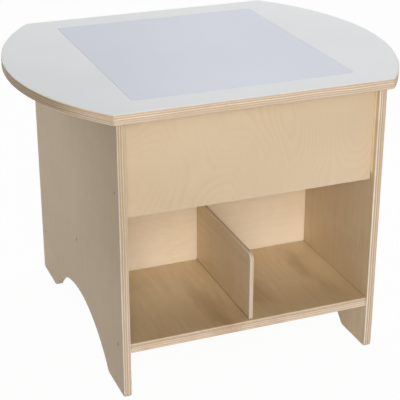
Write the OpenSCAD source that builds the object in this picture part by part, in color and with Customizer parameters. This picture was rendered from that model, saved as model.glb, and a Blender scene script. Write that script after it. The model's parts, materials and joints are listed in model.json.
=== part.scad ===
/* [Table top] */
// Height of the working surface above the floor
table_h = 559; // [545:1:600]
// Length of the top between the tips of its curved ends
top_l = 746; // [736:1:780]
// Depth of the top from front edge to rear edge
top_d = 600; // [596:1:620]
// Length of the straight part of the front and rear edges
top_straight = 528; // [520:1:544]
// Radius of the top's four corners, seen from above
top_corner_r = 8; // [4:1:14]
// Thickness of the white laminate bonded to the top
laminate_t = 1; // [0.8:0.1:1.2]

/* [Boards] */
// Thickness of the birch plywood of the upright boards
board_t = 15.5; // [15:0.5:16.5]
// Thickness of the birch plywood of the top and the shelf
flat_t = 19; // [18:0.5:20]
// Radius of the easing along the exposed board edges
ease_r = 3; // [1:0.5:3]
// Width over the outsides of the two side panels
frame_w = 515; // [512:1:524]
// Depth of the side panels
side_d = 576; // [570:1:584]
// Radius of the arch cut out of each side panel
arch_r = 262; // [240:1:290]
// Height of the arch at its crown
arch_h = 82; // [70:1:86]
// Radius of the corner between the arch and the bottom of each foot
arch_corner_r = 16; // [8:1:20]
// Radius of the outer bottom corner of each foot
foot_corner_r = 8; // [5:1:12]
// Height of the front and rear aprons
apron_h = 183.5; // [170:0.5:187]
// Distance of the aprons behind the edges of the side panels
apron_setback = 16; // [12:1:18]

/* [Storage] */
// Height of the shelf's upper face above the floor
shelf_z = 109; // [105:1:118]
// Distance of the shelf behind the edges of the side panels
shelf_setback = 4; // [2:1:8]
// Thickness of the low dividers
divider_t = 8; // [7:0.5:10]
// Height of the low dividers above the shelf
divider_h = 137; // [110:1:170]
// Distance of the dividers behind the edges of the side panels
divider_setback = 10; // [8:1:16]
// Radius of each divider's exposed upper corner
divider_corner_r = 15; // [10:1:20]

/* [Light window] */
// Width of the window, left to right
window_w = 427; // [420:1:438]
// Depth of the window, front to back
window_d = 484; // [470:1:487]
// Radius of the window's corners
window_corner_r = 10; // [7:1:14]
// Thickness of the diffuser
diffuser_t = 6; // [5:0.5:8]
// Width of the ledge that the diffuser lies on
ledge_w = 8; // [6:1:10]
// Gap between the diffuser and the window's edge
diffuser_gap = 0.5; // [0.3:0.1:1]

/* [Light unit] */
// Length of each light bar
bar_l = 440; // [400:10:440]
// Distance between neighbouring light bars
bar_pitch = 110; // [100:5:114]
// Number of emitters on each light bar
chips_per_bar = 16; // [8:1:20]
// Tilt of the rocker to either side of its middle
rocker_tilt = 8; // [6:1:9]

/* [Hidden] */
$fn = 64;

// Colours
birch = [0.83, 0.74, 0.61];
pale_wood = [0.86, 0.76, 0.60];
white = [0.93, 0.94, 0.94];
opal = [0.80, 0.82, 0.88];
steel = [0.72, 0.73, 0.75];
black = [0.08, 0.08, 0.09];
brass = [0.78, 0.62, 0.32];

// Heights of the carcase
core_top = table_h - laminate_t;
core_bottom = core_top - flat_t;
side_h = core_bottom;
apron_z = core_bottom - apron_h;
shelf_mid_z = shelf_z - flat_t / 2;

// Widths and depths of the carcase
side_x = frame_w / 2 - board_t / 2;
inner_w = frame_w - 2 * board_t;
apron_y = side_d / 2 - apron_setback - board_t / 2;
apron_inner_y = apron_y - board_t / 2;
shelf_d = side_d - 2 * shelf_setback;

// Curved ends of the top: one arc each, through the two corners and the tip
end_rise = (top_l - top_straight) / 2;
end_r = (pow(top_d / 2, 2) + pow(end_rise, 2)) / (2 * end_rise);
end_x = top_l / 2 - end_r;
top_t = flat_t + laminate_t;
corner_y = top_d / 2 - top_corner_r;
corner_x = end_x + sqrt(pow(end_r - top_corner_r, 2) - pow(corner_y, 2));

// Light box: its floor, and the cleats that hold it and the top
floor_t = 9;
floor_z = apron_z + floor_t;
cleat_w = 20;
cleat_h = 22;
cleat_l = 480;
cross_cleat_l = inner_w - 2 * cleat_w - 4;
top_cleat_z = core_bottom - cleat_h;

// Divider tongues, which sit in grooves in the shelf and the centre panel
groove_depth = 4;
groove_gap = 0.1;
tongue_setback = 12;

// Joint bolts, with a hexagon socket in a flat head
bolt_l = 50;
bolt_head_r = 4.2;
bolt_head_h = 3.2;
bolt_neck_r = 3.5;
bolt_thread_r = 3.15;
bolt_core_r = 2.3;
bolt_pitch = 3;
socket_r = 2.3;
socket_depth = 2.6;
hole_gap = 0.1;

// Dowels
dowel_r = 4;
dowel_l = 30;
dowel_in_side = 10;

// Wood screws of the carcase, and the small screws of the fittings
screw_l = 30;
screw_d = 4;
small_screw_d = 3;
clip_screw_l = 10;
plate_screw_l = 12;

// Where each side panel is bolted and dowelled: [y, z] on its face
apron_bolt_z = apron_z + 48.5;
panel_bolt_z = shelf_z + 87;
shelf_bolt_y = side_d / 2 - 30;
apron_bolts = [for (s = [-1, 1]) [s * apron_y, apron_bolt_z]];
shelf_bolts = [for (s = [-1, 1]) [s * shelf_bolt_y, shelf_mid_z]];
panel_bolts = [[0, panel_bolt_z]];
apron_dowels = [for (s = [-1, 1], z = [20, 150]) [s * apron_y, apron_z + z]];
shelf_dowels = [for (y = [-200, 0, 200]) [y, shelf_mid_z]];
panel_dowels = [for (z = [40, 205]) [0, shelf_z + z]];
all_bolts = concat(apron_bolts, shelf_bolts, panel_bolts);
all_dowels = concat(apron_dowels, shelf_dowels, panel_dowels);

// Screw places: where the head's face is, and the turn that points the tip
function tip_along_x(s) = [0, -90 * s, 0];
function tip_along_y(s) = [90 * s, 0, 0];
tip_up = [180, 0, 0];
tip_down = [0, 0, 0];
side_cleat_screws = [
    for (s = [-1, 1], y = [-200, 0, 200], z = [floor_z, top_cleat_z])
        [[s * (inner_w / 2 - cleat_w), y, z + cleat_h / 2], tip_along_x(s)]
];
cross_cleat_screws = [
    for (s = [-1, 1], x = [-180, 0, 180])
        [[x, s * (apron_inner_y - cleat_w), top_cleat_z + cleat_h / 2], tip_along_y(s)]
];
side_top_screws = [
    for (s = [-1, 1], y = [-150, 150])
        [[s * (inner_w - cleat_w) / 2, y, top_cleat_z], tip_up]
];
cross_top_screws = [
    for (s = [-1, 1], x = [-120, 120])
        [[x, s * (apron_inner_y - cleat_w / 2), top_cleat_z], tip_up]
];
floor_edge_screws = [
    for (s = [-1, 1], y = [-150, 150])
        [[s * (inner_w - cleat_w) / 2, y, apron_z], tip_up]
];
floor_middle_screws = [for (x = [-bar_pitch, 0, bar_pitch]) [[x, 0, floor_z], tip_down]];
shelf_screw_places = [for (s = [-1, 1]) [[s * bar_pitch, 0, shelf_z - flat_t], tip_up]];

// Light bars: a channel on clips, a circuit strip with emitters, and a cover
bar_count = 4;
clip_base_t = 3;
bar_z = floor_z + clip_base_t;
channel_w = 17;
channel_h = 8;
channel_wall = 1.2;
strip_w = 12;
strip_t = 1.6;
strip_z = bar_z + channel_wall;
strip_l = bar_l - 6;
chip_size = [2.8, 3.5, 0.8];
chip_pitch = strip_l / chips_per_bar;
cap_t = 2;
clip_y = 150;
clip_l = 12;
clip_arm_t = 1.2;
lead_offset = 4;
function bar_x(i) = (i - (bar_count - 1) / 2) * bar_pitch;

// Controls on a steel plate, screwed over a cut-out in the rear apron
rear_face_y = apron_y + board_t / 2;
plate_w = 76;
plate_h = 44;
plate_t = 1.5;
plate_face_y = rear_face_y + plate_t;
cutout_w = 60;
cutout_h = 28;
control_z = apron_z + 75.5;
switch_x = bar_x(bar_count - 1);
socket_x = switch_x - 36;
plate_x = (switch_x + socket_x) / 2;
plate_screw_places = [
    for (x = [-1, 1], z = [-1, 1])
        [
            [plate_x + x * (plate_w / 2 - 5), plate_face_y, control_z + z * (plate_h / 2 - 5)],
            tip_along_y(-1)
        ]
];

// Rocker switch
bezel_w = 15;
bezel_h = 21;
bezel_t = 2;
housing_w = 13;
housing_h = 19;
housing_depth = 16;
pit_w = 11;
pit_h = 17.2;
pit_depth = 10;
rocker_w = 10.6;
rocker_reach = 7.8;
pivot_y = plate_face_y - 1.5;
trunnion_r = 1;
trunnion_gap = 0.05;
trunnion_l = 11.8;
latch_w = 6;
latch_h = 1.2;
latch_l = 4;
spade_w = 4.8;
spade_t = 0.8;
spade_l = 6;
spade_x = 3.5;
spade_z = 5;

// Power socket
socket_flange_r = 7;
socket_body_r = 5.5;
socket_bore_r = 3.2;
socket_bore_depth = 10;
socket_body_l = 14;
socket_pin_r = 1.05;
nut_across = 14;
nut_t = 3;
tab_l = 5;
tab_w = 2.5;
tab_t = 0.5;

// Leads inside the light box
lead_r = 1.5;
lead_gap = 0.1;
lead_bend = 6;
lead_y = 254;
lead_z = bar_z + channel_h / 2;
link_y = bar_l / 2 + 16;
boot_wall = 1;
boot_end_y = 244;
switch_boot_front_y = 263;
socket_boot_front_y = 262;
lead_end_y = strip_l / 2;
inlet_run_z = control_z - 22;
saddle_w = 8;
saddle_l = 10;
saddle_cap = 3;

// ---- Shapes shared by several pieces ----

// A rectangle with rounded corners, centred
module rounded_rect(w, h, r) {
    square([w - 2 * r, h], center = true);
    square([w, h - 2 * r], center = true);
    for (x = [-1, 1], y = [-1, 1])
        translate([x * (w / 2 - r), y * (h / 2 - r)])
            circle(r);
}

// Extrudes a shape drawn in Y and Z along X, both ways
module along_x(length) {
    rotate([90, 0, 90])
        linear_extrude(length, center = true)
            children();
}

// Extrudes a shape drawn in X and Z along Y, both ways
module along_y(length) {
    rotate([90, 0, 0])
        linear_extrude(length, center = true)
            children();
}

// Disc with an eased rim, centred
module eased_disc(r, h) {
    rotate_extrude()
        intersection() {
            rounded_rect(2 * r, h, ease_r);
            translate([0, -h])
                square([r, 2 * h]);
        }
}

// What is taken off a corner of a board's outline to round it, centred on the round: the
// wedge between two directions a and b, less an eased disc that stands proud by a hair
module corner_waste(r, thickness, a, b) {
    hair = 0.03;
    past_edge = 1.2 * r;
    difference() {
        linear_extrude(thickness + 2, center = true)
            polygon(past_edge * [[0, 0], a, (a + b) / (1 + a * b), b]);
        eased_disc(r + hair, thickness + 2 * hair);
    }
}

// Section of a board standing on its lower edge, which is eased at both corners
module standing_section(h) {
    translate([0, (h + ease_r) / 2])
        rounded_rect(board_t, h + ease_r, ease_r);
}

// Repeats a shape at each [place, turn]
module at_places(places) {
    for (p = places)
        translate(p[0])
            rotate(p[1])
                children();
}

// The ridges of a thread on the outline of a screw, from z0 down
function thread(ridge_r, core_r, z0, length, pitch) = [
    for (k = [0:floor(length / pitch) - 1])
        each [[core_r, z0 - k * pitch], [ridge_r, z0 - (k + 0.5) * pitch]]
];

// A joint bolt, head face at the origin and tip along -Z
module joint_bolt() {
    neck_end = -board_t + 1;
    thread_l = bolt_l + neck_end - 3;
    difference() {
        rotate_extrude()
            polygon(concat(
                [
                    [0, 0], [bolt_head_r, 0], [bolt_head_r, -bolt_head_h],
                    [bolt_neck_r, -bolt_head_h], [bolt_neck_r, neck_end]
                ],
                thread(bolt_thread_r, bolt_core_r, neck_end, thread_l, bolt_pitch),
                [[bolt_core_r, -bolt_l + 2], [0, -bolt_l]]
            ));
        translate([0, 0, -socket_depth])
            cylinder(h = 2 * socket_depth, r = socket_r, $fn = 6);
    }
}

// The stepped hole that a joint bolt goes into
module bolt_bore() {
    translate([0, 0, -bolt_head_h])
        cylinder(h = 2 * bolt_head_h, r = bolt_head_r + hole_gap);
    translate([0, 0, -board_t])
        cylinder(h = board_t, r = bolt_neck_r + hole_gap);
    translate([0, 0, -bolt_l - 1])
        cylinder(h = bolt_l, r = bolt_thread_r + hole_gap);
}

// A cross-slotted countersunk screw, head face at the origin and tip along -Z
module wood_screw(length, d) {
    head_h = d / 2;
    ridge_r = d / 2 - 0.1;
    core_r = 0.33 * d;
    thread_l = length - head_h - 4 - d;
    slot = [1.1 * d, 0.18 * d, 0.6 * d];
    difference() {
        rotate_extrude()
            polygon(concat(
                [[0, 0], [d, 0], [core_r, -head_h], [core_r, -head_h - 4]],
                thread(ridge_r, core_r, -head_h - 4, thread_l, 0.45 * d),
                [[core_r, -length + d], [0, -length]]
            ));
        for (a = [0, 90])
            rotate(a)
                cube(slot, center = true);
    }
}

// The countersunk hole that a wood screw goes into
module screw_bore(length, d) {
    translate([0, 0, -length - 0.5])
        cylinder(h = length, r = d / 2);
    translate([0, 0, -d / 2])
        cylinder(h = d / 2, r1 = d / 2 + hole_gap, r2 = d + hole_gap);
    cylinder(h = 1, r = d + hole_gap);
}

// Holes for the carcase screws at each place
module screw_bores(places) {
    at_places(places)
        screw_bore(screw_l, screw_d);
}

// Places a joint's parts on both side panels, at each [y, z], with -Z pointing inwards
module on_both_sides(points, x) {
    for (s = [-1, 1], p = points)
        translate([s * x, p[0], p[1]])
            rotate([0, 90 * s, 0])
                children();
}

// The holes for bolts and dowels, cut from both boards of a joint
module joint_bores(bolts, dowels) {
    on_both_sides(bolts, frame_w / 2)
        bolt_bore();
    on_both_sides(dowels, inner_w / 2 + dowel_in_side + 0.2)
        translate([0, 0, -dowel_l - 0.4])
            cylinder(h = dowel_l + 0.4, r = dowel_r + hole_gap);
}

// A lead with round bends, through points joined by runs along the axes
module lead(points) {
    last = len(points) - 1;
    dirs = [for (i = [0:last - 1]) (points[i + 1] - points[i]) / norm(points[i + 1] - points[i])];
    for (i = [0:last - 1]) {
        from = points[i] + dirs[i] * (i > 0 ? lead_bend : 0);
        to = points[i + 1] - dirs[i] * (i < last - 1 ? lead_bend : 0);
        side = cross([0, 0, 1], dirs[i]);
        translate(from)
            rotate(a = acos(dirs[i][2]), v = norm(side) > 0 ? side : [1, 0, 0])
                cylinder(h = norm(to - from), r = lead_r);
    }
    for (i = [1:last - 1])
        elbow(points[i], dirs[i - 1], dirs[i]);
}

// A quarter bend at a corner, coming in along a and leaving along b
module elbow(corner, a, b) {
    centre = corner + lead_bend * (b - a);
    up = cross(a, b);
    multmatrix([
        [-b[0], a[0], up[0], centre[0]],
        [-b[1], a[1], up[1], centre[1]],
        [-b[2], a[2], up[2], centre[2]],
        [0, 0, 0, 1]
    ])
        rotate_extrude(angle = 90)
            translate([lead_bend, 0])
                circle(lead_r);
}

// ---- Table top ----

// The whole top, laminate included, with its edge eased above and below
module top_blank() {
    translate([0, 0, core_bottom + top_t / 2])
        difference() {
            intersection() {
                translate([-end_x, 0])
                    eased_disc(end_r, top_t);
                translate([end_x, 0])
                    eased_disc(end_r, top_t);
                along_x(top_l + 2)
                    rounded_rect(top_d, top_t, ease_r);
            }
            for (x = [-1, 1], y = [-1, 1])
                translate([x * corner_x, y * corner_y])
                    corner_waste(top_corner_r, top_t, [0, y], towards_end_arc(x, y));
        }
}

// Direction from the centre of a corner's round to where it meets the curved end
function towards_end_arc(x, y) =
    [x * (corner_x - end_x), y * corner_y] / (end_r - top_corner_r);

module window_hole(w, d, r, z, h) {
    translate([0, 0, z])
        linear_extrude(h)
            rounded_rect(w, d, r);
}

// Plywood core, with the window cut through it and a ledge left all round
module tabletop_core() {
    color(birch)
        difference() {
            intersection() {
                top_blank();
                translate([-top_l, -top_d, 0])
                    cube([2 * top_l, 2 * top_d, core_top]);
            }
            window_hole(window_w, window_d, window_corner_r, table_h - diffuser_t, diffuser_t);
            window_hole(
                window_w - 2 * ledge_w,
                window_d - 2 * ledge_w,
                window_corner_r - 2,
                core_bottom - 1,
                flat_t + 2
            );
            screw_bores(side_top_screws);
            screw_bores(cross_top_screws);
        }
}

// White laminate sheet over the core
module tabletop_laminate() {
    color(white)
        difference() {
            intersection() {
                top_blank();
                translate([-top_l, -top_d, core_top])
                    cube([2 * top_l, 2 * top_d, 2 * laminate_t]);
            }
            window_hole(window_w, window_d, window_corner_r, core_top - 1, laminate_t + 2);
        }
}

// Translucent panel, dropped into the window and flush with the laminate
module light_diffuser() {
    color(opal)
        translate([0, 0, table_h - diffuser_t])
            linear_extrude(diffuser_t)
                rounded_rect(
                    window_w - 2 * diffuser_gap,
                    window_d - 2 * diffuser_gap,
                    window_corner_r - diffuser_gap
                );
}

// ---- Carcase boards ----

// The arch, which opens out at both faces of the panel so that its edge is eased
module eased_arch() {
    translate([0, 0, arch_h - arch_r])
        rotate([0, 90, 0])
            rotate_extrude()
                difference() {
                    translate([0, -board_t])
                        square([arch_r + ease_r, 2 * board_t]);
                    translate([arch_r, ease_r - board_t / 2])
                        square([2 * ease_r, board_t - 2 * ease_r]);
                    for (y = [-1, 1])
                        translate([arch_r + ease_r, y * (board_t / 2 - ease_r)])
                            circle(ease_r);
                }
}

// What is taken off one foot: at its outer corner, and where it meets the arch
module foot_waste(s) {
    reach = arch_r + arch_corner_r;
    rise = arch_r - arch_h + arch_corner_r;
    arch_corner_y = sqrt(pow(reach, 2) - pow(rise, 2));
    translate([0, s * (side_d / 2 - foot_corner_r), foot_corner_r])
        rotate([90, 0, 90])
            corner_waste(foot_corner_r, board_t, [0, -1], [s, 0]);
    translate([0, s * arch_corner_y, arch_corner_r])
        rotate([90, 0, 90])
            corner_waste(arch_corner_r, board_t, [0, -1], [-s * arch_corner_y, -rise] / reach);
}

// Side panel, which is also two of the table's feet
module side_panel(side) {
    color(birch)
        difference() {
            translate([side * side_x, 0, 0])
                difference() {
                    intersection() {
                        linear_extrude(side_h)
                            rounded_rect(board_t, side_d, ease_r);
                        along_y(side_d)
                            standing_section(side_h);
                    }
                    eased_arch();
                    foot_waste(-1);
                    foot_waste(1);
                }
            joint_bores(all_bolts, all_dowels);
            screw_bores(side_cleat_screws);
        }
}

// Apron between the side panels, eased along its lower edge and its ends
module apron(side) {
    color(birch)
        difference() {
            translate([0, side * apron_y, apron_z])
                intersection() {
                    along_x(inner_w)
                        standing_section(apron_h);
                    linear_extrude(apron_h)
                        rounded_rect(inner_w, board_t, ease_r);
                }
            joint_bores(apron_bolts, apron_dowels);
            screw_bores(cross_cleat_screws);
        }
}

// Rear apron, with the cut-out that the switch and the socket pass through
module rear_apron() {
    color(birch)
        difference() {
            apron(1);
            translate([plate_x, apron_y, control_z])
                along_y(2 * board_t)
                    rounded_rect(cutout_w, cutout_h, 3);
            at_places(plate_screw_places)
                screw_bore(plate_screw_l, small_screw_d);
        }
}

// Shelf, grooved for the dividers
module bottom_shelf() {
    color(birch)
        difference() {
            translate([0, 0, shelf_mid_z])
                along_x(inner_w)
                    rounded_rect(shelf_d, flat_t, ease_r);
            for (s = [-1, 1])
                divider_groove(s);
            joint_bores(shelf_bolts, shelf_dowels);
            screw_bores(shelf_screw_places);
        }
}

// Groove for the tongue under one divider
module divider_groove(side) {
    w = divider_t + groove_gap;
    front_y = side_d / 2 - divider_setback - tongue_setback + groove_gap;
    back_y = board_t / 2 - groove_depth;
    translate([-w / 2, side > 0 ? back_y : -front_y, shelf_z - groove_depth])
        cube([w, front_y - back_y, 2 * groove_depth]);
}

// Upright board at mid-depth, the back of both sides of the storage
module centre_panel() {
    w = divider_t + groove_gap;
    color(birch)
        difference() {
            translate([-inner_w / 2, -board_t / 2, shelf_z])
                cube([inner_w, board_t, apron_z - shelf_z]);
            for (s = [-1, 1])
                translate([-w / 2, s > 0 ? board_t / 2 - groove_depth : -board_t / 2 - groove_depth, 0])
                    cube([w, 2 * groove_depth, shelf_z + divider_h + groove_gap]);
            joint_bores(panel_bolts, panel_dowels);
            screw_bores(floor_middle_screws);
            screw_bores(shelf_screw_places);
        }
}

// A low divider's board, eased along its top and its free end, with one round corner
module divider(side) {
    free_y = side_d / 2 - divider_setback;
    back_y = board_t / 2 - groove_depth;
    length = free_y - back_y;
    edge_r = 2.5;
    color(birch)
        mirror([0, side < 0 ? 1 : 0, 0]) {
            intersection() {
                difference() {
                    translate([0, back_y, shelf_z])
                        translate([-divider_t / 2, 0, 0])
                            cube([divider_t, length, divider_h]);
                    translate([0, free_y, shelf_z + divider_h])
                        cube([2 * divider_t, 2 * divider_corner_r, 2 * divider_corner_r], center = true);
                }
                along_y(side_d)
                    translate([0, shelf_z + divider_h / 2 - edge_r])
                        rounded_rect(divider_t, divider_h + 2 * edge_r, edge_r);
                linear_extrude(table_h)
                    translate([0, free_y - length / 2 - edge_r])
                        rounded_rect(divider_t, length + 2 * edge_r, edge_r);
            }
            translate([0, free_y - divider_corner_r, shelf_z + divider_h - divider_corner_r])
                rotate([0, -90, 0])
                    divider_corner(edge_r);
            translate([-divider_t / 2, back_y, shelf_z - groove_depth])
                cube([divider_t, length - tongue_setback, groove_depth]);
        }
}

// Quarter disc with an eased rim, for a divider's round corner
module divider_corner(edge_r) {
    rotate_extrude(angle = 90)
        intersection() {
            rounded_rect(2 * divider_corner_r, divider_t, edge_r);
            translate([0, -divider_t])
                square([divider_corner_r, 2 * divider_t]);
        }
}

// Floor of the light box, faced white, which carries the light bars
module light_box_floor() {
    color(white)
        difference() {
            translate([-inner_w / 2, -apron_inner_y, apron_z])
                cube([inner_w, 2 * apron_inner_y, floor_t]);
            screw_bores(floor_edge_screws);
            screw_bores(floor_middle_screws);
            led_clip_screw_bores();
        }
}

// Square batten between a side panel and what is screwed to it
module side_cleat(side, z) {
    color(pale_wood)
        difference() {
            translate([side * (inner_w - cleat_w) / 2, 0, z + cleat_h / 2])
                cube([cleat_w, cleat_l, cleat_h], center = true);
            screw_bores(side_cleat_screws);
            screw_bores(side_top_screws);
            screw_bores(floor_edge_screws);
        }
}

// The same between an apron and the top
module cross_cleat(side) {
    color(pale_wood)
        difference() {
            translate([0, side * (apron_inner_y - cleat_w / 2), top_cleat_z + cleat_h / 2])
                cube([cross_cleat_l, cleat_w, cleat_h], center = true);
            screw_bores(cross_cleat_screws);
            screw_bores(cross_top_screws);
        }
}

// ---- Fasteners ----

module joint_bolts() {
    color(steel)
        on_both_sides(all_bolts, frame_w / 2)
            joint_bolt();
}

// Dowels with chamfered ends, glued across each joint
module wood_dowels() {
    chamfer = 0.8;
    color(pale_wood)
        on_both_sides(all_dowels, inner_w / 2 + dowel_in_side)
            rotate_extrude()
                polygon([
                    [0, 0],
                    [dowel_r - chamfer, 0],
                    [dowel_r, -chamfer],
                    [dowel_r, chamfer - dowel_l],
                    [dowel_r - chamfer, -dowel_l],
                    [0, -dowel_l]
                ]);
}

module carcase_screws(places) {
    color(steel)
        at_places(places)
            wood_screw(screw_l, screw_d);
}

// ---- Light bars ----

// Aluminium channel, open at the top
module led_channel(i) {
    color(steel)
        translate([bar_x(i), 0, bar_z])
            along_y(bar_l)
                difference() {
                    translate([-channel_w / 2, 0])
                        square([channel_w, channel_h]);
                    translate([channel_wall - channel_w / 2, channel_wall])
                        square([channel_w - 2 * channel_wall, channel_h]);
                }
}

// Circuit strip on the floor of the channel
module led_strip(i) {
    color(white)
        translate([bar_x(i) - strip_w / 2, -strip_l / 2, strip_z])
            cube([strip_w, strip_l, strip_t]);
}

// Opal cover, with two legs that grip the inside of the channel
module led_cover(i) {
    leg_x = channel_w / 2 - channel_wall - 0.1;
    leg_h = 3;
    color(opal)
        translate([bar_x(i), 0, bar_z + channel_h])
            along_y(bar_l)
                difference() {
                    union() {
                        translate([-channel_w / 2, 0])
                            square([channel_w, channel_wall]);
                        translate([-leg_x, -leg_h])
                            square([2 * leg_x, leg_h]);
                    }
                    translate([1 - leg_x, -leg_h - 1])
                        square([2 * leg_x - 2, leg_h + 1]);
                }
}

// Emitters, soldered along every circuit strip
module led_chips() {
    color([0.95, 0.88, 0.55])
        for (i = [0:bar_count - 1], k = [0:chips_per_bar - 1])
            translate([
                bar_x(i) - chip_size[0] / 2,
                (k + 0.5) * chip_pitch - (strip_l + chip_size[1]) / 2,
                strip_z + strip_t
            ])
                cube(chip_size);
}

// Plastic caps that close one end of each bar
module bar_caps(side, with_holes) {
    color(white)
        for (i = [0:bar_count - 1])
            translate([bar_x(i), side * (bar_l + cap_t) / 2, bar_z])
                along_y(cap_t)
                    difference() {
                        translate([-channel_w / 2, 0])
                            square([channel_w, channel_h + channel_wall]);
                        if (with_holes)
                            for (x = [-lead_offset, lead_offset])
                                translate([x, lead_z - bar_z])
                                    circle(lead_r + lead_gap);
                    }
}

// Clips that hold each bar at two places
module led_clips() {
    inside_w = channel_w + 0.2;
    color("lightgray")
        for (i = [0:bar_count - 1], s = [-1, 1])
            translate([bar_x(i), s * clip_y, floor_z])
                difference() {
                    translate([-inside_w / 2 - clip_arm_t, -clip_l / 2, 0])
                        cube([inside_w + 2 * clip_arm_t, clip_l, clip_base_t + 6]);
                    translate([-inside_w / 2, -clip_l, clip_base_t])
                        cube([inside_w, 2 * clip_l, 10]);
                    translate([0, 0, clip_base_t])
                        screw_bore(clip_screw_l, small_screw_d);
                }
}

module at_clip_screws() {
    for (i = [0:bar_count - 1], s = [-1, 1])
        translate([bar_x(i), s * clip_y, bar_z])
            children();
}

module led_clip_screws() {
    color(steel)
        at_clip_screws()
            wood_screw(clip_screw_l, small_screw_d);
}

module led_clip_screw_bores() {
    at_clip_screws()
        screw_bore(clip_screw_l, small_screw_d);
}

// ---- Leads inside the light box ----

// Short leads that join each bar to the next at the rear
module link_leads() {
    color(white)
        for (i = [0:bar_count - 2])
            lead([
                [bar_x(i) + lead_offset, lead_end_y, lead_z],
                [bar_x(i) + lead_offset, link_y, lead_z],
                [bar_x(i + 1) - lead_offset, link_y, lead_z],
                [bar_x(i + 1) - lead_offset, lead_end_y, lead_z]
            ]);
}

// Lead from the switch down to the last bar
module supply_lead() {
    x = switch_x + lead_offset;
    color(white)
        lead([
            [x, lead_y, control_z - spade_z - spade_t / 2],
            [x, lead_y, lead_z],
            [x, lead_end_y, lead_z]
        ]);
}

// Lead from the power socket to the switch
module inlet_lead() {
    x = switch_x - lead_offset;
    color(white)
        lead([
            [socket_x, lead_y, control_z - tab_t / 2],
            [socket_x, lead_y, inlet_run_z],
            [x, lead_y, inlet_run_z],
            [x, lead_y, control_z - spade_z - spade_t / 2]
        ]);
}

// A block that holds a lead running along X, base at the origin, lead at a height
module saddle(height) {
    difference() {
        translate([-saddle_w / 2, -saddle_l / 2, 0])
            cube([saddle_w, saddle_l, height + saddle_cap]);
        translate([0, 0, height])
            rotate([0, 90, 0])
                cylinder(h = 2 * saddle_w, r = lead_r + lead_gap, center = true);
    }
}

module lead_saddles() {
    color(white) {
        for (i = [0:bar_count - 2])
            translate([(bar_x(i) + bar_x(i + 1)) / 2, link_y, floor_z])
                saddle(lead_z - floor_z);
        translate([switch_x + lead_offset, apron_inner_y, floor_z + 30])
            rotate([90, 0, 0])
                rotate(90)
                    saddle(apron_inner_y - lead_y);
    }
}

// ---- Controls ----

// Steel plate that carries the switch and the socket
module control_plate() {
    color(steel)
        difference() {
            translate([plate_x, rear_face_y + plate_t / 2, control_z])
                along_y(plate_t)
                    rounded_rect(plate_w, plate_h, 4);
            translate([switch_x, rear_face_y, control_z])
                cube([housing_w + 0.2, 4 * plate_t, housing_h + 0.2], center = true);
            translate([socket_x, rear_face_y, control_z])
                rotate([90, 0, 0])
                    cylinder(h = 4 * plate_t, r = socket_body_r + hole_gap, center = true);
            at_places(plate_screw_places)
                screw_bore(plate_screw_l, small_screw_d);
        }
}

module plate_screws() {
    color(steel)
        at_places(plate_screw_places)
            wood_screw(plate_screw_l, small_screw_d);
}

// Switch housing: a rim outside the plate, a body behind it and a pit for the rocker
module rocker_housing() {
    color(black)
        difference() {
            union() {
                translate([switch_x, plate_face_y + bezel_t / 2, control_z])
                    along_y(bezel_t)
                        rounded_rect(bezel_w, bezel_h, 1.5);
                translate([switch_x, plate_face_y - housing_depth / 2, control_z])
                    cube([housing_w, housing_depth, housing_h], center = true);
                for (s = [-1, 1])
                    switch_latch(s);
            }
            translate([switch_x, plate_face_y + bezel_t, control_z])
                cube([pit_w, 2 * pit_depth, pit_h], center = true);
            translate([switch_x, pivot_y, control_z])
                rotate([0, 90, 0])
                    cylinder(h = trunnion_l + 0.2, r = trunnion_r + trunnion_gap, center = true);
        }
}

// Sloping catch above or below the housing, which snaps in behind the plate
module switch_latch(side) {
    translate([switch_x, rear_face_y - 0.1, control_z])
        mirror([0, 0, side < 0 ? 1 : 0])
            along_x(latch_w)
                polygon([
                    [0, housing_h / 2 - 0.5],
                    [0, housing_h / 2 + latch_h],
                    [-latch_l, housing_h / 2],
                    [-latch_l, housing_h / 2 - 0.5]
                ]);
}

// Rocker, at rest tipped to its off side with the lower half in, on two stub pivots
module rocker_button() {
    crest = 4.6;
    dip = 3.4;
    color(black)
        translate([switch_x, pivot_y, control_z])
            rotate([-rocker_tilt, 0, 0]) {
                along_x(rocker_w)
                    polygon([
                        [crest, -rocker_reach], [dip, 0], [crest, rocker_reach],
                        [-1, rocker_reach], [-3.5, 3], [-3.5, -3], [-1, -rocker_reach]
                    ]);
                rotate([0, 90, 0])
                    cylinder(h = trunnion_l, r = trunnion_r, center = true);
            }
}

// Blade terminals behind the switch, two for each pole
module switch_terminals() {
    color(brass)
        for (x = [-1, 1], z = [-1, 1])
            translate([
                switch_x + x * spade_x - spade_w / 2,
                plate_face_y - housing_depth - spade_l,
                control_z + z * spade_z - spade_t / 2
            ])
                cube([spade_w, spade_l, spade_t]);
}

// Insulating boot over the switch's terminals
module switch_boot() {
    w = housing_w + 0.3;
    h = housing_h + 0.3;
    depth = switch_boot_front_y - boot_end_y;
    color(black)
        difference() {
            translate([switch_x, boot_end_y + depth / 2, control_z])
                cube([w + 2 * boot_wall, depth, h + 2 * boot_wall], center = true);
            translate([switch_x, boot_end_y + boot_wall + depth / 2, control_z])
                cube([w, depth, h], center = true);
            for (x = [-lead_offset, lead_offset])
                translate([switch_x + x, lead_y, control_z - h])
                    cylinder(h = h, r = lead_r + lead_gap);
        }
}

// Power socket: flange, threaded barrel and the bore for a plug
module power_socket() {
    color(black)
        translate([socket_x, plate_face_y, control_z])
            rotate([90, 0, 0])
                difference() {
                    union() {
                        translate([0, 0, -bezel_t])
                            cylinder(h = bezel_t, r = socket_flange_r);
                        cylinder(h = socket_body_l, r = socket_body_r);
                    }
                    translate([0, 0, -bezel_t - 1])
                        cylinder(h = socket_bore_depth + 1, r = socket_bore_r);
                }
}

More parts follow.
